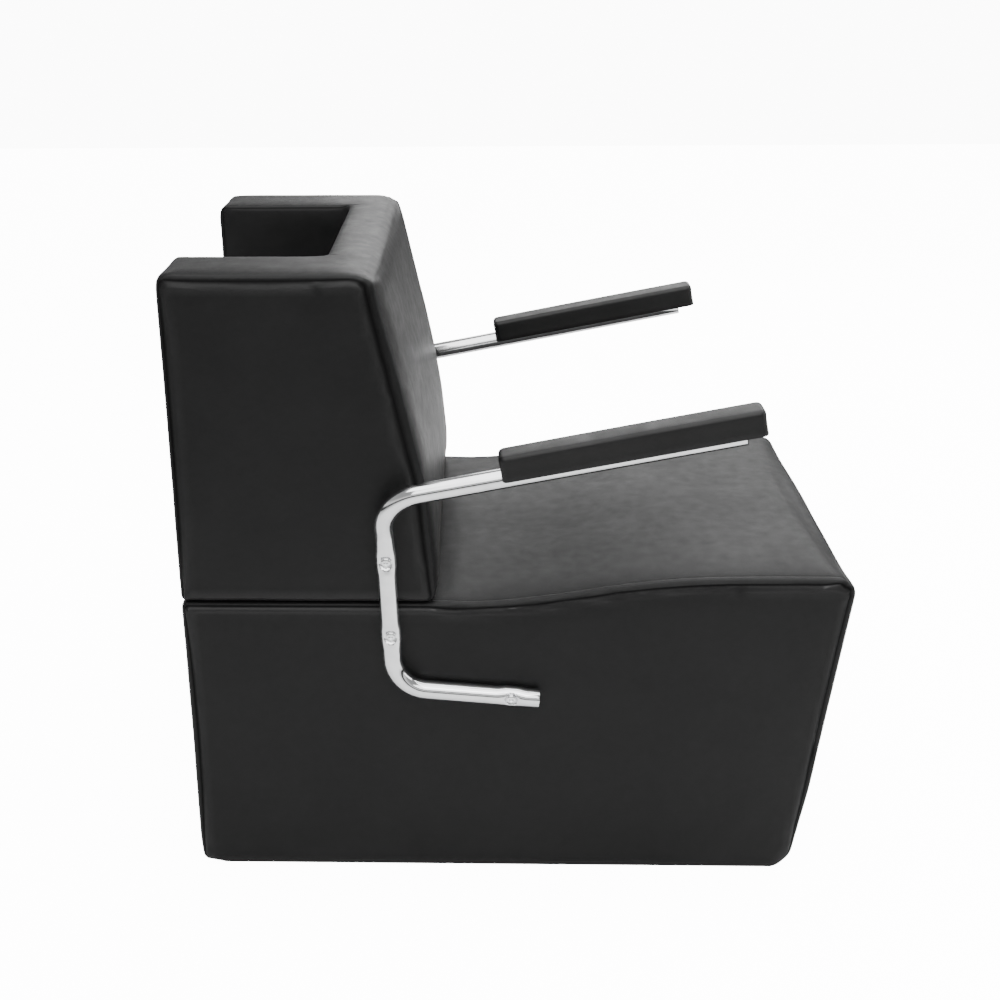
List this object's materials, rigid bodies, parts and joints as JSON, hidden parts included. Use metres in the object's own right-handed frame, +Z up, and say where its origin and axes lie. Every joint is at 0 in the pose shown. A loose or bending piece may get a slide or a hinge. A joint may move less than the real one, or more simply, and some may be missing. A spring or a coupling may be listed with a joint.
{
  "type": "dryer chair",
  "caption": "Upholstered box chair for a salon dryer: closed base with shaped seat, U-shaped back unit with an open bay behind it, and bent tube arms with pads.",
  "frame": {"origin": "centre of the floor under the chair, on the plane that the four glides stand on", "axes": "+Z up; the sitter faces -Y; +X is the sitter's left"},
  "size_m": [0.6854, 0.872, 0.84],
  "materials": {
    "black_vinyl": "soft satin upholstery vinyl with a fine grain",
    "foam": "open-cell cushion foam",
    "chrome_tube": "bright chrome-plated steel tube",
    "chrome_bolts": "bright plated pan-head bolts",
    "arm_pad_skin": "self-skinned moulded urethane, satin",
    "plywood": "unfinished plywood and softwood",
    "zinc_steel": "zinc-plated steel hardware",
    "black_plastic": "moulded plastic end plug",
    "glide_nylon": "nail-on nylon glide",
    "dust_fabric": "black non-woven dust cover"
  },
  "bodies": {
    "root": {"arm_bolts_left": "chrome_bolts", "arm_bolts_right": "chrome_bolts", "arm_pad_core_left": "plywood", "arm_pad_core_right": "plywood", "arm_pad_left": "arm_pad_skin", "arm_pad_right": "arm_pad_skin", "arm_tee_nuts_left": "zinc_steel", "arm_tee_nuts_right": "zinc_steel", "arm_tube_left": "chrome_tube", "arm_tube_right": "chrome_tube", "back_bolt_washers": "zinc_steel", "back_bolts": "zinc_steel", "back_cover": "black_vinyl", "back_foam": "foam", "back_tee_nuts": "zinc_steel", "base_cover": "black_vinyl", "base_front_panel": "plywood", "base_rear_panel": "plywood", "base_side_panel_left": "plywood", "base_side_panel_right": "plywood", "bay_board": "plywood", "corner_blocks": "plywood", "deck_rail": "plywood", "deck_screws": "zinc_steel", "dust_cover": "dust_fabric", "front_rail": "plywood", "glides": "glide_nylon", "pad_screws_left": "zinc_steel", "pad_screws_right": "zinc_steel", "rear_deck": "plywood", "seat_board": "plywood", "seat_board_cleat": "plywood", "seat_brace": "plywood", "seat_foam": "foam", "tube_plug_left": "black_plastic", "tube_plug_right": "black_plastic", "wing_foot_rail_left": "plywood", "wing_foot_rail_right": "plywood", "wing_inner_panel_left": "plywood", "wing_inner_panel_right": "plywood", "wing_outer_panel_left": "plywood", "wing_outer_panel_right": "plywood", "wing_rear_rail_left": "plywood", "wing_rear_rail_right": "plywood", "wing_top_rail_left": "plywood", "wing_top_rail_right": "plywood"}
  },
  "joints": []
}
